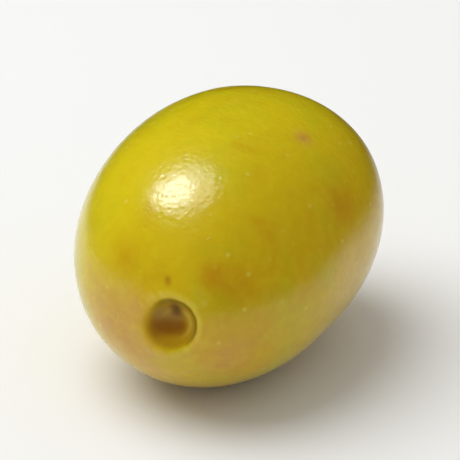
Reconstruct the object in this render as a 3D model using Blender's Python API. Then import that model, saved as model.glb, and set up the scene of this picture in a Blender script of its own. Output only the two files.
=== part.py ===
"""A green table olive, lying on its side on a small flat spot, stem end towards -Y.

The fruit is one body. Its outline is turned round the long axis as an egg whose ends are
fuller than an ellipse's, with the cup that the stalk leaves at one end and the dry point of
the flower's style at the other. The turned body is then made a real fruit's: a little
wider than it is high, bowed and hooked to one side at the stem end, and softly uneven.
Lengths are in metres, +Z is up, and the middle of the box's underside is the origin.
"""

import math

import bmesh
import bpy

MM = 0.001

# The whole fruit
LENGTH = 29.4 * MM
DIAMETER = 21.0 * MM
STEM_FULLNESS = 2.4
BLOSSOM_FULLNESS = 2.2

# The cup at the stem end: a round bowl with a soft rim and a low lip round it, deeper above
# its middle than below, and stretched along a diagonal
CUP_RADIUS = 2.25 * MM
CUP_DEPTH = 0.75 * MM
CUP_RIM_SOFTNESS = 0.12
CUP_TILT = 0.45
CUP_OVAL = 0.15
CUP_OVAL_REACH = 4.0 * MM
CUP_OVAL_TURN = math.radians(45)
LIP_RADIUS = 2.6 * MM
LIP_WIDTH = 0.5 * MM
LIP_HEIGHT = 0.1 * MM

# The blossom end: a shallow dimple round the point that the style leaves
DIMPLE_RADIUS = 1.2 * MM
DIMPLE_DEPTH = 0.16 * MM
POINT_RADIUS = 0.34 * MM
POINT_HEIGHT = 0.34 * MM

# What makes the turned body uneven
BOW_SIDEWAYS = 0.8 * MM
BOW_UPWARDS = -0.4 * MM
HOOK_SIDEWAYS = 1.8 * MM
HOOK_UPWARDS = -0.3 * MM
HOOK_POWER = 10
OVAL = 0.14 * MM
SWELL = 0.10 * MM
SWELL_LOBES = 3
SWELL_TWIST = 2.2

# How far the resting spot is pressed in from the lowest point
FLAT_SPOT_PRESS = 0.28 * MM

# Mesh steps
STEPS_ROUND = 64
STEM_RINGS = 24
STEM_RINGS_TO = 3.9 * MM
BODY_RINGS = 26
BLOSSOM_RINGS = 7
BLOSSOM_RINGS_FROM = 1.9 * MM
MERGE = 0.001 * MM

FLESH_COLOUR = (0.42, 0.34, 0.016, 1.0)
FLESH_ROUGHNESS = 0.28


def share_at_radius(radius, fullness):
    """Share of the half length at which the plain body is this thick: (1 - (r/R)^2)^(1/fullness)."""
    return max(0.0, 1 - (radius / (DIAMETER / 2)) ** 2) ** (1 / fullness)


def radius_at_share(share, fullness):
    """Radius of the plain body at a share of its half length: R (1 - share^fullness)^(1/2)."""
    return DIAMETER / 2 * math.sqrt(max(0.0, 1 - abs(share) ** fullness))


def cup_share(radius):
    """Share of the cup's depth at a radius: the positive part of 1 - (radius / cup radius)^2, softened."""
    inside = 1 - (radius / CUP_RADIUS) ** 2
    return (inside + math.sqrt(inside**2 + CUP_RIM_SOFTNESS**2)) / 2


def stem_relief(radius):
    """How far the stem end's surface stands above the plain body: the lip, less the cup."""
    lip = LIP_HEIGHT * math.exp(-(((radius - LIP_RADIUS) / LIP_WIDTH) ** 2))
    return lip - CUP_DEPTH * cup_share(radius)


def blossom_relief(radius):
    """How far the blossom end's surface stands above the plain body: the point, less the dimple."""
    point = POINT_HEIGHT * math.exp(-((radius / POINT_RADIUS) ** 2))
    dimple = DIMPLE_DEPTH * math.exp(-((radius / DIMPLE_RADIUS) ** 2))
    return point - dimple


def outline():
    """Points of half the fruit's outline as (along, radius), from the cup's middle to the blossom point.

    Near both ends the rings are even steps of radius, and between them even steps of angle."""
    half = LENGTH / 2
    points = []
    for ring in range(STEM_RINGS):
        radius = STEM_RINGS_TO * ring / STEM_RINGS
        along = half * share_at_radius(radius, STEM_FULLNESS) + stem_relief(radius)
        points.append((along, radius))

    first = math.acos(share_at_radius(STEM_RINGS_TO, STEM_FULLNESS))
    last = math.pi - math.acos(share_at_radius(BLOSSOM_RINGS_FROM, BLOSSOM_FULLNESS))
    for ring in range(BODY_RINGS):
        share = math.cos(first + (last - first) * ring / BODY_RINGS)
        fullness = STEM_FULLNESS if share > 0 else BLOSSOM_FULLNESS
        radius = radius_at_share(share, fullness)
        relief = stem_relief(radius) if share > 0 else -blossom_relief(radius)
        points.append((half * share + relief, radius))

    for ring in range(BLOSSOM_RINGS + 1):
        radius = BLOSSOM_RINGS_FROM * (1 - ring / BLOSSOM_RINGS)
        share = share_at_radius(radius, BLOSSOM_FULLNESS)
        points.append((-half * share - blossom_relief(radius), radius))
    return points


def turn_outline(mesh):
    """Spins the outline once round the long axis, which lies along Y, and closes both poles."""
    row = [mesh.verts.new((radius, -along, 0)) for along, radius in outline()]
    edges = [mesh.edges.new(pair) for pair in zip(row, row[1:])]
    bmesh.ops.spin(
        mesh,
        geom=row + edges,
        axis=(0, 1, 0),
        cent=(0, 0, 0),
        angle=2 * math.pi,
        steps=STEPS_ROUND,
        use_duplicate=False,
    )
    bmesh.ops.remove_doubles(mesh, verts=mesh.verts, dist=MERGE)


def middle_line(share):
    """How far sideways and upwards the middle line lies at a share of the half length.

    It bows by the share's square, so both ends lie lower and to one side, and hooks further
    the same way at the stem end, by a high power of the share."""
    hook = share**HOOK_POWER if share > 0 else 0.0
    sideways = BOW_SIDEWAYS * share**2 + HOOK_SIDEWAYS * hook
    upwards = BOW_UPWARDS * share**2 + HOOK_UPWARDS * hook
    return sideways, upwards


def make_uneven(mesh):
    """Moves each point of the turned body as a grown fruit differs from it.

    Round the length the radius gets an oval and a twisted three-lobed swell, both fading
    towards the ends with the square of the radius. Near the stem it is stretched along a
    diagonal, and the cup sinks more above its middle than below. The middle line then bows
    and hooks."""
    for vert in mesh.verts:
        x, y, z = vert.co
        radius = math.hypot(x, z)
        turn = math.atan2(z, x)
        if y < 0:
            share = share_at_radius(radius, STEM_FULLNESS)
            near_cup = math.exp(-((radius / CUP_OVAL_REACH) ** 2))
            stretch = CUP_OVAL * math.cos(2 * (turn - CUP_OVAL_TURN)) * near_cup
            vert.co.y += CUP_DEPTH * cup_share(radius) * CUP_TILT * z / CUP_RADIUS
        else:
            share = -share_at_radius(radius, BLOSSOM_FULLNESS)
            stretch = 0.0
        fade = (radius / (DIAMETER / 2)) ** 2
        oval = OVAL * math.cos(2 * turn)
        swell = SWELL * math.cos(SWELL_LOBES * turn + SWELL_TWIST * share)
        grown = radius * (1 + stretch) + (oval + swell) * fade
        sideways, upwards = middle_line(share)
        vert.co.x = grown * math.cos(turn) + sideways
        vert.co.z = grown * math.sin(turn) + upwards


def press_resting_spot(mesh):
    """Cuts the underside level a little above its lowest point, and closes it with one flat face.

    The skin is shaded smooth and the flat face isn't, which keeps its rim crisp."""
    for face in mesh.faces:
        face.smooth = True
    level = min(vert.co.z for vert in mesh.verts) + FLAT_SPOT_PRESS
    cut = bmesh.ops.bisect_plane(
        mesh,
        geom=mesh.verts[:] + mesh.edges[:] + mesh.faces[:],
        plane_co=(0, 0, level),
        plane_no=(0, 0, -1),
        clear_outer=True,
    )
    rim = [item for item in cut["geom_cut"] if isinstance(item, bmesh.types.BMEdge)]
    bmesh.ops.contextual_create(mesh, geom=rim)
    for vert in mesh.verts:
        vert.co.z -= level


def centre_on_origin(mesh):
    """Puts the middle of the box's underside at the origin."""
    across = [vert.co.x for vert in mesh.verts]
    along = [vert.co.y for vert in mesh.verts]
    middle_x = (min(across) + max(across)) / 2
    middle_y = (min(along) + max(along)) / 2
    bmesh.ops.translate(mesh, verts=mesh.verts, vec=(-middle_x, -middle_y, 0))


def flesh_material():
    """Cured olive skin: yellow green and glossy with brine."""
    material = bpy.data.materials.new("cured_olive_skin")
    material.use_nodes = True
    shader = material.node_tree.nodes["Principled BSDF"]
    shader.inputs["Base Color"].default_value = FLESH_COLOUR
    shader.inputs["Roughness"].default_value = FLESH_ROUGHNESS
    shader.inputs["Metallic"].default_value = 0.0
    return material


def make_olive():
    """The fruit as one closed body."""
    shape = bmesh.new()
    turn_outline(shape)
    make_uneven(shape)
    press_resting_spot(shape)
    centre_on_origin(shape)
    bmesh.ops.recalc_face_normals(shape, faces=shape.faces)
    data = bpy.data.meshes.new("olive")
    shape.to_mesh(data)
    shape.free()
    data.materials.append(flesh_material())
    olive = bpy.data.objects.new("olive", data)
    bpy.context.scene.collection.objects.link(olive)
    return olive


def main():
    for old in list(bpy.data.objects):
        bpy.data.objects.remove(old)
    make_olive()


main()
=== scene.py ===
"""Looks of a cured green olive that lies on its side on a pale floor.

The fruit is one closed surface, worked out with numpy: an egg whose ends are fuller than an
ellipse's, turned round its long axis, with the stalk's cup at one end and the flower's dry
point at the other, then bowed, hooked and made softly uneven as a grown fruit is. The stem
end lies towards -Y. Its skin is one procedural material.
"""

import bpy
import numpy as np
from bpy.props import FloatProperty, FloatVectorProperty, IntProperty, PointerProperty
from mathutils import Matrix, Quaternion, Vector


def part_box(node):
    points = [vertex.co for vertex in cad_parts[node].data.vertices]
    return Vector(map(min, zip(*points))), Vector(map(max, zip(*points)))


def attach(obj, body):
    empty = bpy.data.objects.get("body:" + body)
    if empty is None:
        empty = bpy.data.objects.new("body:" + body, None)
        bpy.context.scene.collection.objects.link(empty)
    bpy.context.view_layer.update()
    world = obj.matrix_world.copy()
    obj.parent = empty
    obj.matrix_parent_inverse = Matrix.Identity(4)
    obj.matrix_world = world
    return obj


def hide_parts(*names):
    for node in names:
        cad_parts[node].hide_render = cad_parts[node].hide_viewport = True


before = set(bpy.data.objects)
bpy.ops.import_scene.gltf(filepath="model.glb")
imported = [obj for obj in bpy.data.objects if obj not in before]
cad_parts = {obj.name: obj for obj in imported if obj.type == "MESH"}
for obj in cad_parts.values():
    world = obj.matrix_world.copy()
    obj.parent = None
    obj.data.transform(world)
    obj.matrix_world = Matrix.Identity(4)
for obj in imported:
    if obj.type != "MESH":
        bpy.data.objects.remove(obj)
CAD_LOW, CAD_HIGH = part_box("olive")
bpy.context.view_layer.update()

bl_info = {
    "name": "Green olive",
    "version": (1, 0, 0),
    "blender": (4, 5, 0),
    "location": "3D View > Sidebar > Olive",
    "description": "Makes a cured green olive and the studio it is shown in",
    "category": "Object",
}

MM = 0.001

# Rings from the cup's middle to the blossom point, and steps round each ring
RINGS = 306
STEPS_ROUND = 310

# Where the rings lie closer: how many times closer, and within which angle of each end
RING_SAMPLES = 4001
STEM_DENSITY = 5
STEM_DENSE_ANGLE = 0.25
BLOSSOM_DENSITY = 3
BLOSSOM_DENSE_ANGLE = 0.12


def linear(code):
    """A linear RGB colour from an sRGB hex code."""
    channels = [int(code[place : place + 2], 16) / 255 for place in (0, 2, 4)]
    return tuple(c / 12.92 if c <= 0.04045 else ((c + 0.055) / 1.055) ** 2.4 for c in channels)


class OliveShape(bpy.types.PropertyGroup):
    """Sizes of the fruit"""

    length: FloatProperty(
        name="Length",
        description="From end to end of the plain body, without the cup",
        default=29.4 * MM,
        unit="LENGTH",
    )
    diameter: FloatProperty(
        name="Diameter",
        description="Thickness of the plain body at its middle",
        default=21.0 * MM,
        unit="LENGTH",
    )
    stem_fullness: FloatProperty(
        name="Stem end's fullness",
        description="Power of the outline towards the stem; 2 is an ellipse",
        default=2.4,
    )
    blossom_fullness: FloatProperty(
        name="Blossom end's fullness",
        description="Power of the outline towards the blossom point; 2 is an ellipse",
        default=2.2,
    )
    cup_radius: FloatProperty(
        name="Cup's radius",
        description="From the middle of the stalk's cup to its rim",
        default=2.25 * MM,
        unit="LENGTH",
    )
    cup_depth: FloatProperty(
        name="Cup's depth",
        description="From the plain body down to the floor of the stalk's cup",
        default=0.75 * MM,
        unit="LENGTH",
    )
    lip_height: FloatProperty(
        name="Lip's height",
        description="How far the rounded lip stands up round the cup",
        default=0.1 * MM,
        unit="LENGTH",
    )
    point_height: FloatProperty(
        name="Point's height",
        description="How far the flower's dry point stands up out of its dimple",
        default=0.34 * MM,
        unit="LENGTH",
    )
    unevenness: FloatProperty(
        name="Unevenness",
        description="Height of the soft swells that every grown fruit has",
        default=0.03 * MM,
        unit="LENGTH",
    )
    seed: IntProperty(
        name="Seed",
        description="Another number grows another olive of the same kind",
        default=4,
    )


class OliveColours(bpy.types.PropertyGroup):
    """Colours of the skin"""

    flesh: FloatVectorProperty(
        name="Flesh",
        description="The skin's main yellow green",
        subtype="COLOR",
        default=linear("ccb80a"),
    )
    # Painted shade: a warmer, darker yellow mixed in towards the side away from the key light
    shadier: FloatVectorProperty(
        name="Riper side",
        description="Warmer yellow of the side that had more sun",
        subtype="COLOR",
        default=linear("c8a206"),
    )
    green: FloatVectorProperty(
        name="Green",
        description="Patches that stayed greener in the brine",
        subtype="COLOR",
        default=linear("b8b210"),
    )
    amber: FloatVectorProperty(
        name="Amber",
        description="Patches that ripened or bruised to amber",
        subtype="COLOR",
        default=linear("c08c04"),
    )
    blush: FloatVectorProperty(
        name="Blush",
        description="Pinkish tan round the stem end",
        subtype="COLOR",
        default=linear("c4923a"),
    )
    mottle: FloatVectorProperty(
        name="Mottle",
        description="Fine paler mottling of the flesh that shows through the skin",
        subtype="COLOR",
        default=linear("e2ce24"),
    )
    # Real pale lenticels, and also the painted highlight on the pale edges of the stalk's cup
    lenticel_and_highlight: FloatVectorProperty(
        name="Lenticels",
        description="Tiny pale breathing pores, and the pale edges of the stalk's cup",
        subtype="COLOR",
        default=linear("dccb50"),
    )
    cup_wall: FloatVectorProperty(
        name="Cup's wall",
        description="Gold inside the stalk's cup",
        subtype="COLOR",
        default=linear("aa8206"),
    )
    cup_shade: FloatVectorProperty(
        name="Cup's shade",
        description="Dark olive under the near rim of the stalk's cup",
        subtype="COLOR",
        default=linear("856c02"),
    )
    # Partly the cup's own dark amber, partly painted shade in its deepest part
    cup_core_and_shade: FloatVectorProperty(
        name="Cup's core",
        description="Dark amber in the middle of the stalk's cup",
        subtype="COLOR",
        default=linear("845200"),
    )
    # Painted reflection: the pale milky sheen of the cup's upper part
    cup_sheen: FloatVectorProperty(
        name="Cup's film",
        description="Pale brown film in the upper part of the stalk's cup",
        subtype="COLOR",
        default=linear("9a7638"),
    )
    bruise: FloatVectorProperty(
        name="Bruises",
        description="Small orange brown marks",
        subtype="COLOR",
        default=linear("a0600c"),
    )
    scar: FloatVectorProperty(
        name="Scar",
        description="Where the stalk broke off",
        subtype="COLOR",
        default=linear("5c3414"),
    )
    point: FloatVectorProperty(
        name="Point",
        description="Dry remains of the flower",
        subtype="COLOR",
        default=linear("a8722a"),
    )


class OliveStage(bpy.types.PropertyGroup):
    """Floor, light and camera"""

    floor_radius: FloatProperty(
        name="Floor's radius",
        description="Radius of the round pale floor",
        default=1.2,
        unit="LENGTH",
    )
    floor_colour: FloatVectorProperty(
        name="Floor's colour",
        description="Colour of the pale floor",
        subtype="COLOR",
        default=linear("ededeb"),
    )
    key_radiance: FloatProperty(
        name="Key light",
        description="Radiance of the softbox that the skin mirrors, above and to the left",
        default=15.5,
    )
    sky_radiance: FloatProperty(
        name="Sky light",
        description="Radiance of the large soft light that lights the fruit from the same side",
        default=2.9,
    )
    camera_distance: FloatProperty(
        name="Camera's distance",
        description="From the fruit's middle to the camera",
        default=0.5,
        unit="LENGTH",
    )
    view_width: FloatProperty(
        name="View's width",
        description="Width of what the camera sees at the fruit",
        default=35 * MM,
        unit="LENGTH",
    )


# How the grown fruit differs from a turned one
BOW_SIDEWAYS = 0.8 * MM
BOW_UPWARDS = -0.4 * MM
HOOK_POWER = 10
HOOK_SIDEWAYS = 1.8 * MM
HOOK_UPWARDS = -0.3 * MM
OVAL = 0.14 * MM
SWELL = 0.10 * MM
SWELL_LOBES = 3
SWELL_TWIST = 2.2
FLAT_SPOT_PRESS = 0.28 * MM
FLAT_SPOT_EDGE = 0.02 * MM

# The stalk's cup
CUP_RIM_SOFTNESS = 0.12
CUP_TILT = 0.45
CUP_OVAL = 0.15
CUP_OVAL_REACH = 4.0 * MM
CUP_OVAL_TURN = np.radians(45)
RIM_UNEVENNESS = 0.025
RIM_LOBES = (2, 3, 5)
LIP_RADIUS = 2.6 * MM
LIP_WIDTH = 0.5 * MM
PUCKER_RADIUS = 2.5 * MM
PUCKER_WIDTH = 0.7 * MM
PUCKER_DEPTH = 0.035 * MM
PUCKER_LOBES = (9, 13, 17, 22)

# Where the cup's upper side is painted with light and shade: the radius of the painted highlight on its
# inner edge, the width of that highlight and of the one on the lip, and the radius and width of the ring of
# painted shade under its near rim
CUP_HIGHLIGHT_RADIUS = 1.25 * MM
CUP_HIGHLIGHT_WIDTH = 0.24 * MM
CUP_SHADE_RADIUS = 2.0 * MM
CUP_SHADE_WIDTH = 0.32 * MM

# The blossom end
DIMPLE_RADIUS = 1.2 * MM
DIMPLE_DEPTH = 0.16 * MM
POINT_RADIUS = 0.34 * MM

# Ripples on the skin: wavelength and number of waves, and the spread of the wavelength
SOFT_SWELLS = (7 * MM, 24)
FINE_SWELLS = (2 * MM, 40)
FINE_SWELL_SHARE = 0.15
SCAR_GRAIN = (0.45 * MM, 40)
SCAR_GRAIN_HEIGHT = 0.01 * MM
SCAR_GRAIN_REACH = 1.3 * MM
SCAR_GRAIN_POWER = 4
WAVELENGTH_SPREAD = (0.7, 1.4)

# The direction of the side that is painted warmer and darker as shade, away from the key light, and how far
# from its middle the change of colour reaches
SHADIER_SIDE = (0.7, -0.06, -0.71)
SHADIER_REACH = 9 * MM

# Marks on the skin: degrees from the cup's middle, degrees round from +X, radius and strength. In the cup,
# the pale marks of its upper part are a painted reflection, and the dark marks of its core are partly
# painted shade.
MARKS = {
    "amber": (
        (35, 26, 1.9 * MM, 0.55),
        (28, 44, 1.2 * MM, 0.7),
        (27, 130, 1.9 * MM, 0.5),
        (89, 26, 2.2 * MM, 0.7),
        (66, 214, 2.6 * MM, 0.6),
        (120, 150, 2.4 * MM, 0.7),
        (131, 318, 2.0 * MM, 0.6),
    ),
    "blush": (
        (25, 196, 2.9 * MM, 0.85),
        (15, 165, 1.6 * MM, 0.55),
        (20, 232, 2.4 * MM, 0.85),
        (33, 328, 2.4 * MM, 0.85),
        (95, 57, 0.9 * MM, 0.8),
        (108, 265, 3.0 * MM, 0.7),
    ),
    "bruise": (
        (16.2, 89, 0.34 * MM, 0.4),
        (17.8, 89, 0.3 * MM, 0.5),
        (16.3, 58, 0.18 * MM, 0.25),
        (95, 57, 0.3 * MM, 0.4),
        (102, 183, 0.35 * MM, 0.45),
        (140, 30, 0.28 * MM, 0.45),
    ),
    # Partly the cup's own dark amber, partly painted shade in its deepest part
    "core_and_shade": (
        (5.6, 190, 0.75 * MM, 1.0),
        (2.6, 200, 0.75 * MM, 1.0),
        (1.2, 350, 0.7 * MM, 0.9),
        (8.8, 208, 0.9 * MM, 0.5),
    ),
    # Painted reflection in the cup's upper part
    "sheen": (
        (8.6, 152, 0.8 * MM, 0.7),
        (4.8, 120, 0.7 * MM, 0.6),
        (3.6, 75, 0.5 * MM, 0.5),
    ),
    "scar": (
        (6.8, 86, 0.6 * MM, 0.65),
        (5.2, 86, 0.55 * MM, 0.5),
    ),
}


def bell(distance, width):
    """A bell curve: exp(-(distance / width)^2)."""
    return np.exp(-((distance / width) ** 2))


def soft_positive(value, softness):
    """The positive part of a value, rounded at its start: half of value + (value^2 + softness^2)^(1/2)."""
    return (value + np.sqrt(value**2 + softness**2)) / 2


def ring_angles():
    """Angle of each ring, from 0 at the cup's middle to pi at the blossom point.

    The rings' density is 1 plus a bell round each end, and the angles are read backwards
    from its running sum, so the cup and the point get the finest rings."""
    angle = np.linspace(0, np.pi, RING_SAMPLES)
    density = 1 + STEM_DENSITY * bell(angle, STEM_DENSE_ANGLE)
    density += BLOSSOM_DENSITY * bell(np.pi - angle, BLOSSOM_DENSE_ANGLE)
    running = np.cumsum(density)
    running -= running[0]
    return np.interp(np.linspace(0, running[-1], RINGS), running, angle)


def ripple(points, wavelength, waves, random):
    """Smooth random relief of about -1 to 1: a scaled sum of plane waves in random directions."""
    total = np.zeros(points.shape[:-1])
    for _ in range(waves):
        direction = random.normal(size=3)
        direction /= np.linalg.norm(direction)
        length = wavelength * random.uniform(*WAVELENGTH_SPREAD)
        total += np.cos(points @ direction * (2 * np.pi / length) + random.uniform(0, 2 * np.pi))
    return total / np.sqrt(2 * waves)


def ruffle(turn, lobes, random):
    """Uneven waves round a ring: the mean of cosines with the given numbers of lobes."""
    total = np.zeros_like(turn)
    for count in lobes:
        total = total + np.cos(count * turn + random.uniform(0, 2 * np.pi))
    return total / len(lobes)


def marks(grid, places):
    """Soft round marks: 1 less the product, over them, of 1 - strength exp(-(distance / radius)^2)."""
    angles = ring_angles()
    bare = np.ones(grid.shape[:2])
    for from_cup, round_x, radius, strength in places:
        ring = np.argmin(np.abs(angles - np.radians(from_cup)))
        step = round(round_x / 360 * STEPS_ROUND) % STEPS_ROUND
        distance = np.linalg.norm(grid - grid[ring, step], axis=-1)
        bare *= 1 - strength * bell(distance, radius)
    return 1 - bare


def outward(grid):
    """Unit normals of a grid: its steps from ring to ring crossed with its steps round."""
    along = np.gradient(grid, axis=0)
    around = np.roll(grid, -1, axis=1) - np.roll(grid, 1, axis=1)
    normal = np.cross(along, around)
    normal[0] = normal[1].mean(axis=0)
    normal[-1] = normal[-2].mean(axis=0)
    return normal / np.linalg.norm(normal, axis=-1, keepdims=True)


def stem_end(shape, radius, turn, random):
    """The stem end's height above the plain body, the bowl of its cup, and the cup's uneven radius.

    Uneven waves round the axis keep the rim from being a true circle. The bowl is the
    softened positive part of 1 - (radius / cup radius)^2, and the cup is its depth times
    the bowl, deeper above its middle than below. A bell-shaped lip with fine puckers
    lies round it."""
    uneven_radius = radius * (1 + RIM_UNEVENNESS * ruffle(turn, RIM_LOBES, random))
    bowl = soft_positive(1 - (uneven_radius / shape.cup_radius) ** 2, CUP_RIM_SOFTNESS)
    cup = bowl * (1 + CUP_TILT * radius * np.sin(turn) / shape.cup_radius)
    lip = bell(uneven_radius - LIP_RADIUS, LIP_WIDTH)
    puckers = ruffle(turn, PUCKER_LOBES, random) * bell(radius - PUCKER_RADIUS, PUCKER_WIDTH)
    height = shape.lip_height * lip - shape.cup_depth * cup + PUCKER_DEPTH * puckers
    return height, bowl, uneven_radius


def grown_radius(shape, radius, turn, share):
    """The radius with an oval and a twisted swell, and near the cup an oval along a diagonal.

    The first two fade towards both ends with the square of the radius, and the third fades
    away from the cup as a bell."""
    fade = (radius / (shape.diameter / 2)) ** 2
    oval = OVAL * np.cos(2 * turn)
    swell = SWELL * np.cos(SWELL_LOBES * turn + SWELL_TWIST * share)
    diagonal = CUP_OVAL * np.cos(2 * (turn - CUP_OVAL_TURN)) * bell(radius, CUP_OVAL_REACH)
    return radius + (oval + swell) * fade + radius * np.where(share > 0, diagonal, 0)


def middle_line(share):
    """How far sideways and upwards the middle line lies at a share of the half length.

    It bows by share^2, and at the stem end it also hooks by share^10."""
    hook = np.where(share > 0, share**HOOK_POWER, 0)
    sideways = BOW_SIDEWAYS * share**2 + HOOK_SIDEWAYS * hook
    upwards = BOW_UPWARDS * share**2 + HOOK_UPWARDS * hook
    return sideways, upwards


def skin_relief(shape, grid, radius, bowl, random):
    """Height of the soft and fine swells outside the cup, and of the grain on the cup's floor.

    The swells fade with the bowl, and the grain with exp(-(radius / reach)^4)."""
    open_skin = np.clip(1 - bowl, 0, 1)
    height = shape.unevenness * ripple(grid, *SOFT_SWELLS, random) * open_skin
    height += FINE_SWELL_SHARE * shape.unevenness * ripple(grid, *FINE_SWELLS, random) * open_skin
    on_floor = np.where(bowl > 0, np.exp(-((radius / SCAR_GRAIN_REACH) ** SCAR_GRAIN_POWER)), 0)
    return height + SCAR_GRAIN_HEIGHT * ripple(grid, *SCAR_GRAIN, random) * on_floor


def press_resting_spot(grid):
    """Lifts what lies below the flat spot's level up to it, with a slightly rounded edge."""
    above = grid[..., 2] - grid[..., 2].min() - FLAT_SPOT_PRESS
    grid[..., 2] = soft_positive(above, FLAT_SPOT_EDGE)


def fit_to_solid(grid):
    """Stretches the grid to the plain solid's box, from which the relief makes it differ a little."""
    low, high = grid.min(axis=(0, 1)), grid.max(axis=(0, 1))
    cad_low, cad_high = np.array(CAD_LOW), np.array(CAD_HIGH)
    return cad_low + (grid - low) * (cad_high - cad_low) / (high - low)


def olive_surface(shape):
    """The fruit's points on a grid of rings and steps round, and the masks that its skin is painted by.

    A ring's share of the half length is the cosine of its angle, and its radius is
    R (1 - share^fullness)^(1/2). Along the axis the stem end carries its cup and lip, and
    the blossom end a bell-shaped dimple with a bell-shaped point. The ring is then made
    uneven and moved to the middle line, the relief moves each point along its normal, and
    the underside is pressed flat.

    The masks of the cup and of the blossom end are the bowl and the bells that shape them,
    and more bells at other radii. The ripe side's is the distance along its direction, and
    the others are soft round marks."""
    random = np.random.default_rng(shape.seed)
    angle = ring_angles()[:, None]
    turn = np.linspace(0, 2 * np.pi, STEPS_ROUND, endpoint=False)[None, :]
    share = np.cos(angle)
    stem = share > 0
    fullness = np.where(stem, shape.stem_fullness, shape.blossom_fullness)
    radius = shape.diameter / 2 * np.sqrt(np.clip(1 - np.abs(share) ** fullness, 0, None))

    stem_height, bowl, uneven_radius = stem_end(shape, radius, turn, random)
    cup = np.where(stem, bowl, 0)
    point = np.where(stem, 0, bell(radius, POINT_RADIUS) + 0 * turn)
    dimple = np.where(stem, 0, bell(radius, DIMPLE_RADIUS) + 0 * turn)
    blossom_height = shape.point_height * point - DIMPLE_DEPTH * dimple
    along = shape.length / 2 * share + np.where(stem, stem_height, -blossom_height)
    grown = grown_radius(shape, radius, turn, share)
    sideways, upwards = middle_line(share)
    across = grown * np.cos(turn) + sideways
    height = grown * np.sin(turn) + upwards
    grid = np.stack((across, -along, height), axis=-1)

    grid = grid + outward(grid) * skin_relief(shape, grid, radius, cup, random)[..., None]
    press_resting_spot(grid)
    grid = fit_to_solid(grid)

    # Painted highlights on the cup's inner edge and on its lip, and a ring of painted shade under its near
    # rim, all strongest towards its upper side
    upper_side = np.where(stem, (1 + np.cos(turn - CUP_OVAL_TURN)) / 2, 0)
    inner_highlight = bell(uneven_radius - CUP_HIGHLIGHT_RADIUS, CUP_HIGHLIGHT_WIDTH)
    outer_highlight = bell(uneven_radius - LIP_RADIUS, CUP_HIGHLIGHT_WIDTH)
    shade = bell(uneven_radius - CUP_SHADE_RADIUS, CUP_SHADE_WIDTH)
    middle = (np.array(CAD_LOW) + np.array(CAD_HIGH)) / 2
    masks = {
        # Painted shade: warmer towards the side away from the key light
        "shadier": (grid - middle) @ np.array(SHADIER_SIDE) / SHADIER_REACH,
        "cup": cup,
        "cup_edge_highlight": (inner_highlight + outer_highlight) * upper_side,
        "cup_shade": shade * upper_side,
        "dimple": dimple,
        "point": point,
    }
    for name, places in MARKS.items():
        masks[name] = marks(grid, places)
    return grid, masks


def skin_the_grid(name, grid, masks):
    """A closed mesh object from a grid whose first and last rings are single points.

    Quads run between the inner rings, and a fan of triangles closes each end. Each mask
    becomes a number on every point, under its own name."""
    rings, steps = grid.shape[:2]

    def on_points(field):
        inner = field[1:-1].reshape(-1, *field.shape[2:])
        return np.concatenate((field[0, :1], inner, field[-1, :1]))

    index = 1 + np.arange((rings - 2) * steps).reshape(rings - 2, steps)
    beside = np.roll(index, -1, axis=1)
    quads = np.stack((index[:-1], index[1:], beside[1:], beside[:-1]), axis=-1).reshape(-1, 4)
    last = (rings - 2) * steps + 1
    first_fan = np.stack((np.zeros(steps, int), index[0], beside[0]), axis=-1)
    last_fan = np.stack((np.full(steps, last), beside[-1], index[-1]), axis=-1)
    faces = quads.tolist() + first_fan.tolist() + last_fan.tolist()
    mesh = bpy.data.meshes.new(name)
    mesh.from_pydata(on_points(grid).tolist(), [], faces)
    for title, field in masks.items():
        attribute = mesh.attributes.new(title, "FLOAT", "POINT")
        attribute.data.foreach_set("value", on_points(field).astype(np.float32))
    mesh.shade_smooth()
    piece = bpy.data.objects.new(name, mesh)
    bpy.context.scene.collection.objects.link(piece)
    return piece


def add(tree, kind, wanted, settings=None, inputs=None):
    """Adds a node, sets its properties, sets or links its named inputs, and gives its wanted output."""
    node = tree.nodes.new(kind)
    for name, value in (settings or {}).items():
        setattr(node, name, value)
    for name, value in (inputs or {}).items():
        if isinstance(value, bpy.types.NodeSocket):
            tree.links.new(value, node.inputs[name])
        else:
            node.inputs[name].default_value = value
    return node.outputs[wanted]


def per_metre(size_mm):
    """A texture's scale for a pattern that repeats about every so many millimetres."""
    return 1 / (size_mm * MM)


# A Mix node's sockets for colours, by number because their names repeat
SHARE, FIRST, SECOND, MIXED = 0, 6, 7, 2
COLOURS = {"data_type": "RGBA"}
SMOOTH = {"interpolation_type": "SMOOTHSTEP"}
TIMES = {"operation": "MULTIPLY"}
TIMES_PLUS = {"operation": "MULTIPLY_ADD"}
MINUS = {"operation": "SUBTRACT"}
HIGHER = {"operation": "MAXIMUM"}

# The skin's noises: size in millimetres, detail, distortion
SKIN_NOISES = {
    "green": (6.0, 3.0, 0.4),
    "amber": (3.6, 3.0, 0.6),
    "blush": (2.2, 3.0, 0.3),
    "mottle": (0.9, 3.0, 0.2),
    "gloss": (1.6, 2.0, 0.0),
    "wrinkles": (0.5, 2.0, 0.2),
}

# How a noise is spread: where it starts and ends to show, and the share there
SKIN_SPREADS = {
    "green": (0.46, 0.72, 0.0, 0.55),
    "amber": (0.5, 0.78, 0.0, 0.4),
    "blush": (0.2, 0.8, 0.65, 1.0),
    "mottle": (0.35, 0.75, 0.0, 0.16),
    "gloss": (0.3, 0.7, 0.38, 0.5),
}

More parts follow.
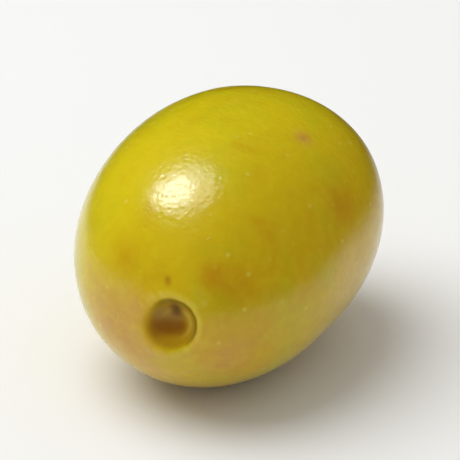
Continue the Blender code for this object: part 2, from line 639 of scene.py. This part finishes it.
# How a mask is spread in the same way
MASK_SPREADS = {
    # Painted shade towards the side away from the key light
    "shadier": (-1.0, 1.0, 0.0, 1.0),
    "amber": (0.0, 1.0, 0.0, 1.0),
    "blush": (0.0, 1.0, 0.0, 1.0),
    "bruise": (0.0, 1.0, 0.0, 1.0),
    "cup": (0.0, 0.5, 0.0, 1.0),
    # Painted highlights on the cup's inner edge and lip
    "cup_edge_highlight": (0.0, 1.0, 0.0, 0.26),
    "cup_shade": (0.2, 0.8, 0.0, 0.9),
    # Partly the cup's own dark amber, partly painted shade in its core
    "core_and_shade": (0.0, 1.0, 0.0, 1.0),
    # Painted reflection in the cup's upper part
    "sheen": (0.0, 1.0, 0.0, 1.0),
    "scar": (0.0, 1.0, 0.0, 1.0),
    "dimple": (0.0, 1.0, 0.0, 0.5),
    "point": (0.15, 0.7, 0.0, 1.0),
}

# Dots in the middles of random cells: their spacing in millimetres, and the shares of it at
# which they start and end to fade
DOTS = {
    "lenticels": (1.5, 0.0, 0.2),
    "pores": (0.5, 0.0, 0.6),
}

# The wet surface's relief: the wrinkles' noise, less a share of the pores, times a height
PORE_SHARE = -0.6
RELIEF_HEIGHT = 0.03 * MM

# How much of the brine's clear coat lies in the stalk's cup, and the value of the cup's mask
# from which it is so thin
CUP_COAT = 0.15
CUP_COAT_FROM = 0.1

# The cuticle and its coat mirror as wax and brine do, and the flesh scatters red light furthest
SKIN_VALUES = {
    "IOR": 1.4,
    "Specular IOR Level": 0.05,
    "Coat Roughness": 0.18,
    "Coat IOR": 1.4,
    "Subsurface Weight": 0.4,
    "Subsurface Radius": (1.0, 0.6, 0.12),
    "Subsurface Scale": 2.0 * MM,
}


def skin_colour(tree, colours, mask, spread, lenticels):
    """The skin's colour: the flesh, with each layer of paint mixed over what lies under it."""
    amber = add(tree, "ShaderNodeMath", "Value", HIGHER, {0: spread["amber"], 1: mask["amber"]})
    blush = add(tree, "ShaderNodeMath", "Value", TIMES, {0: spread["blush"], 1: mask["blush"]})
    # Partly painted shade, only inside the cup
    core_and_shade = add(tree, "ShaderNodeMath", "Value", TIMES, {0: mask["core_and_shade"], 1: mask["cup"]})
    # Painted reflection, only inside the cup
    sheen = add(tree, "ShaderNodeMath", "Value", TIMES, {0: mask["sheen"], 1: mask["cup"]})
    layers = (
        # Painted shade: warmer towards the side away from the key light
        (mask["shadier"], colours.shadier),
        (spread["green"], colours.green),
        (amber, colours.amber),
        (blush, colours.blush),
        (spread["mottle"], colours.mottle),
        (lenticels, colours.lenticel_and_highlight),
        (mask["bruise"], colours.bruise),
        (mask["cup"], colours.cup_wall),
        # Partly the cup's own dark amber, partly painted shade in its core
        (core_and_shade, colours.cup_core_and_shade),
        # Painted reflection in the cup's upper part
        (sheen, colours.cup_sheen),
        (mask["cup_shade"], colours.cup_shade),
        # Painted highlights on the cup's inner edge and lip
        (mask["cup_edge_highlight"], colours.lenticel_and_highlight),
        (mask["scar"], colours.scar),
        (mask["dimple"], colours.amber),
        (mask["point"], colours.point),
    )
    colour = (*colours.flesh, 1.0)
    for share, paint in layers:
        inputs = {SHARE: share, FIRST: colour, SECOND: (*paint, 1.0)}
        colour = add(tree, "ShaderNodeMix", MIXED, COLOURS, inputs)
    return colour


def cured_skin(colours):
    """Cured olive skin: a thin waxy cuticle, soaked and wet with brine, over pale flesh.

    The brine gives a clear coat with bright reflections, which fine pores and wrinkles
    break up. The flesh under it scatters light, so the skin looks lit from within and its
    shadows stay warm. Patches of greener, amber and pinkish skin lie where the fruit
    ripened unevenly, and the lenticels are pale dots."""
    material = bpy.data.materials.new("cured_olive_skin")
    material.use_nodes = True
    tree = material.node_tree
    shader = tree.nodes["Principled BSDF"]
    place = add(tree, "ShaderNodeTexCoord", "Object")

    noise = {}
    for name, (size, detail, distortion) in SKIN_NOISES.items():
        inputs = {"Vector": place, "Scale": per_metre(size), "Detail": detail, "Distortion": distortion}
        noise[name] = add(tree, "ShaderNodeTexNoise", "Fac", inputs=inputs)
    spread = {}
    for name, (start, end, low, high) in SKIN_SPREADS.items():
        inputs = {"Value": noise[name], "From Min": start, "From Max": end, "To Min": low, "To Max": high}
        spread[name] = add(tree, "ShaderNodeMapRange", "Result", SMOOTH, inputs)
    mask = {}
    for name, (start, end, low, high) in MASK_SPREADS.items():
        value = add(tree, "ShaderNodeAttribute", "Fac", {"attribute_name": name})
        inputs = {"Value": value, "From Min": start, "From Max": end, "To Min": low, "To Max": high}
        mask[name] = add(tree, "ShaderNodeMapRange", "Result", SMOOTH, inputs)

    dots = {}
    for name, (spacing, start, end) in DOTS.items():
        inputs = {"Vector": place, "Scale": per_metre(spacing)}
        cells = add(tree, "ShaderNodeTexVoronoi", "Distance", inputs=inputs)
        inputs = {"Value": cells, "From Min": start, "From Max": end, "To Min": 1.0, "To Max": 0.0}
        dot = add(tree, "ShaderNodeMapRange", "Result", SMOOTH, inputs)
        cell_colour = cells.node.outputs["Color"]
        chance = add(tree, "ShaderNodeSeparateColor", "Red", inputs={"Color": cell_colour})
        dots[name] = add(tree, "ShaderNodeMath", "Value", TIMES, {0: dot, 1: chance})

    colour = skin_colour(tree, colours, mask, spread, dots["lenticels"])
    tree.links.new(colour, shader.inputs["Base Color"])
    tree.links.new(spread["gloss"], shader.inputs["Roughness"])

    inputs = {0: dots["pores"], 1: PORE_SHARE, 2: noise["wrinkles"]}
    height = add(tree, "ShaderNodeMath", "Value", TIMES_PLUS, inputs)
    inputs = {"Strength": 1.0, "Distance": RELIEF_HEIGHT, "Height": height}
    relief = add(tree, "ShaderNodeBump", "Normal", inputs=inputs)
    tree.links.new(relief, shader.inputs["Normal"])
    tree.links.new(relief, shader.inputs["Coat Normal"])

    inputs = {"Value": mask["cup"], "From Max": CUP_COAT_FROM, "To Min": 1.0, "To Max": CUP_COAT}
    glaze = add(tree, "ShaderNodeMapRange", "Result", inputs=inputs)
    tree.links.new(glaze, shader.inputs["Coat Weight"])
    for name, value in SKIN_VALUES.items():
        shader.inputs[name].default_value = value
    return material


class OLIVE_OT_fruit(bpy.types.Operator):
    """Makes the fruit, in place of the plain solid"""

    bl_idname = "olive.fruit"
    bl_label = "Make the fruit"

    def execute(self, context):
        grid, masks = olive_surface(context.scene.olive_shape)
        fruit = skin_the_grid("olive_fruit", grid, masks)
        fruit.data.materials.append(cured_skin(context.scene.olive_colours))
        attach(fruit, "root")
        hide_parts("olive")
        return {"FINISHED"}


# The camera looks from here, in degrees round from -Y and above level
VIEW_AZIMUTH = 26.0
VIEW_ELEVATION = 27.0
CLIP_START = 0.01
CLIP_END = 10.0

# Each soft light: its direction from the fruit, its width and height in metres, its roll in degrees
KEY = ((-0.385, -0.1, 0.917), (0.17, 0.27), 12.0)
GLOW = ((-0.3, -0.05, 0.95), (0.34, 0.5), 12.0)
FRONT = ((0.3, -0.95, 0.1), (0.3, 0.14), 0.0)
SKY = ((-0.45, -0.1, 0.89), (0.55, 0.55), 0.0)
LIGHT_DISTANCE = 0.5
GLOW_RADIANCE = 5.0
FRONT_RADIANCE = 1.0
MIRRORED_TINT = (0.93, 1.0, 1.05)
PLAIN_TINT = (1.0, 1.0, 1.0)
FILL_GREY = (0.5, 0.5, 0.5, 1.0)
BACKGROUND_GREY = (0.95, 0.95, 0.95, 1.0)

# The floor: its corners, how far it lies under the fruit, and its paint's nap, with its size in millimetres
FLOOR_CORNERS = 96
FLOOR_GAP = 0.01 * MM
NAP_SIZE = 1.2
NAP_HEIGHT = 0.02 * MM
NAP_STRENGTH = 0.05
PAINT_VALUES = {"Roughness": 0.9, "Specular IOR Level": 0.2}

# Where the floor that the skin mirrors fades in: the axis, where it is dark, where it is fully there
MIRRORED_EDGES = (
    ("X", -0.09, -0.045),
    ("X", 0.065, 0.03),
    ("Y", 0.07, 0.02),
)


def floor_paint(colour):
    """Matt emulsion paint, rolled on: an even pale floor that takes soft shadows and reflects nothing.

    The skin mirrors only the floor near it, with a soft edge, as if darker things lay beyond."""
    material = bpy.data.materials.new("rolled_matt_paint")
    material.use_nodes = True
    tree = material.node_tree
    shader = tree.nodes["Principled BSDF"]
    place = add(tree, "ShaderNodeTexCoord", "Object")
    nap = add(tree, "ShaderNodeTexNoise", "Fac", inputs={"Vector": place, "Scale": per_metre(NAP_SIZE)})
    inputs = {"Strength": NAP_STRENGTH, "Distance": NAP_HEIGHT, "Height": nap}
    tree.links.new(add(tree, "ShaderNodeBump", "Normal", inputs=inputs), shader.inputs["Normal"])
    shader.inputs["Base Color"].default_value = (*colour, 1.0)
    for name, value in PAINT_VALUES.items():
        shader.inputs[name].default_value = value

    axes = add(tree, "ShaderNodeSeparateXYZ", "X", inputs={"Vector": place}).node.outputs
    near = 1.0
    for axis, start, end in MIRRORED_EDGES:
        inputs = {"Value": axes[axis], "From Min": start, "From Max": end}
        inside = add(tree, "ShaderNodeMapRange", "Result", SMOOTH, inputs)
        near = add(tree, "ShaderNodeMath", "Value", TIMES, {0: near, 1: inside})
    far = add(tree, "ShaderNodeMath", "Value", MINUS, {0: 1.0, 1: near})
    mirrored = add(tree, "ShaderNodeLightPath", "Is Glossy Ray")
    dark = add(tree, "ShaderNodeMath", "Value", TIMES, {0: far, 1: mirrored})
    black = add(tree, "ShaderNodeEmission", "Emission", inputs={"Strength": 0.0})
    inputs = {0: dark, 1: shader.outputs["BSDF"], 2: black}
    mixed = add(tree, "ShaderNodeMixShader", "Shader", inputs=inputs)
    tree.links.new(mixed, tree.nodes["Material Output"].inputs["Surface"])
    return material


def lay_floor(radius, level, material):
    """A round level face, with its corners at even angles. It is part of the stage."""
    turn = np.linspace(0, 2 * np.pi, FLOOR_CORNERS, endpoint=False)
    corners = np.stack((radius * np.cos(turn), radius * np.sin(turn), np.full_like(turn, level)), axis=-1)
    mesh = bpy.data.meshes.new("floor")
    mesh.from_pydata(corners.tolist(), [], [list(range(FLOOR_CORNERS))])
    mesh.materials.append(material)
    floor = bpy.data.objects.new("floor", mesh)
    bpy.context.scene.collection.objects.link(floor)


def aim(thing, place, target, roll=0.0):
    """Puts a light or a camera in its place, turns it to its target and rolls it by some degrees."""
    thing.location = place
    thing.rotation_mode = "QUATERNION"
    towards = (target - place).to_track_quat("-Z", "Y")
    thing.rotation_quaternion = towards @ Quaternion((0, 0, 1), np.radians(roll))
    bpy.context.scene.collection.objects.link(thing)


def softbox(name, light, radiance, target, mirrored):
    """An oval soft light, which either the skin mirrors or which lights it.

    Its power is pi times radiance times area."""
    direction, (width, height), roll = light
    data = bpy.data.lights.new(name, "AREA")
    data.shape = "ELLIPSE"
    data.size = width
    data.size_y = height
    data.energy = np.pi * radiance * width * height * np.pi / 4
    data.color = MIRRORED_TINT if mirrored else PLAIN_TINT
    box = bpy.data.objects.new(name, data)
    box.visible_camera = False
    box.visible_glossy = mirrored
    box.visible_diffuse = not mirrored
    box.visible_transmission = not mirrored
    aim(box, target + Vector(direction).normalized() * LIGHT_DISTANCE, target, roll)


def studio_world():
    """Soft grey light from all round, which the skin doesn't mirror, and a pale background."""
    world = bpy.data.worlds.new("studio")
    world.use_nodes = True
    tree = world.node_tree
    seen = add(tree, "ShaderNodeLightPath", "Is Camera Ray")
    inputs = {SHARE: seen, FIRST: FILL_GREY, SECOND: BACKGROUND_GREY}
    colour = add(tree, "ShaderNodeMix", MIXED, COLOURS, inputs)
    tree.links.new(colour, tree.nodes["Background"].inputs["Color"])
    world.cycles_visibility.glossy = False
    return world


def place_camera(distance, view_width, target):
    """A camera that looks from the view's direction and sees the view's width at its target."""
    azimuth, elevation = np.radians(VIEW_AZIMUTH), np.radians(VIEW_ELEVATION)
    across, up = np.cos(elevation), np.sin(elevation)
    back = Vector((np.sin(azimuth) * across, -np.cos(azimuth) * across, up))
    data = bpy.data.cameras.new("camera")
    data.lens = data.sensor_width * distance / view_width
    data.clip_start = CLIP_START
    data.clip_end = CLIP_END
    camera = bpy.data.objects.new("camera", data)
    aim(camera, target + back * distance, target)
    bpy.context.scene.camera = camera


class OLIVE_OT_stage(bpy.types.Operator):
    """Makes the pale floor, the studio light and the camera"""

    bl_idname = "olive.stage"
    bl_label = "Make the stage"

    def execute(self, context):
        stage = context.scene.olive_stage
        middle = (CAD_LOW + CAD_HIGH) / 2
        lay_floor(stage.floor_radius, CAD_LOW.z - FLOOR_GAP, floor_paint(stage.floor_colour))
        softbox("key_light", KEY, stage.key_radiance, middle, mirrored=True)
        softbox("glow_light", GLOW, GLOW_RADIANCE, middle, mirrored=True)
        softbox("front_light", FRONT, FRONT_RADIANCE, middle, mirrored=True)
        softbox("sky_light", SKY, stage.sky_radiance, middle, mirrored=False)
        context.scene.world = studio_world()
        place_camera(stage.camera_distance, stage.view_width, middle)
        context.scene.view_settings.view_transform = "Standard"
        return {"FINISHED"}


class OLIVE_PT_panel(bpy.types.Panel):
    """Lists the pieces and the stage"""

    bl_label = "Green olive"
    bl_idname = "OLIVE_PT_panel"
    bl_space_type = "VIEW_3D"
    bl_region_type = "UI"
    bl_category = "Olive"

    def draw(self, context):
        for maker in (OLIVE_OT_fruit, OLIVE_OT_stage):
            self.layout.operator(maker.bl_idname)


CLASSES = (OliveShape, OliveColours, OliveStage, OLIVE_OT_fruit, OLIVE_OT_stage, OLIVE_PT_panel)


def register():
    for each in CLASSES:
        bpy.utils.register_class(each)
    bpy.types.Scene.olive_shape = PointerProperty(type=OliveShape)
    bpy.types.Scene.olive_colours = PointerProperty(type=OliveColours)
    bpy.types.Scene.olive_stage = PointerProperty(type=OliveStage)


def unregister():
    del bpy.types.Scene.olive_stage
    del bpy.types.Scene.olive_colours
    del bpy.types.Scene.olive_shape
    for each in reversed(CLASSES):
        bpy.utils.unregister_class(each)


def main():
    """Makes everything."""
    register()
    bpy.ops.olive.fruit()
    bpy.ops.olive.stage()


if __name__ == "__main__":
    main()
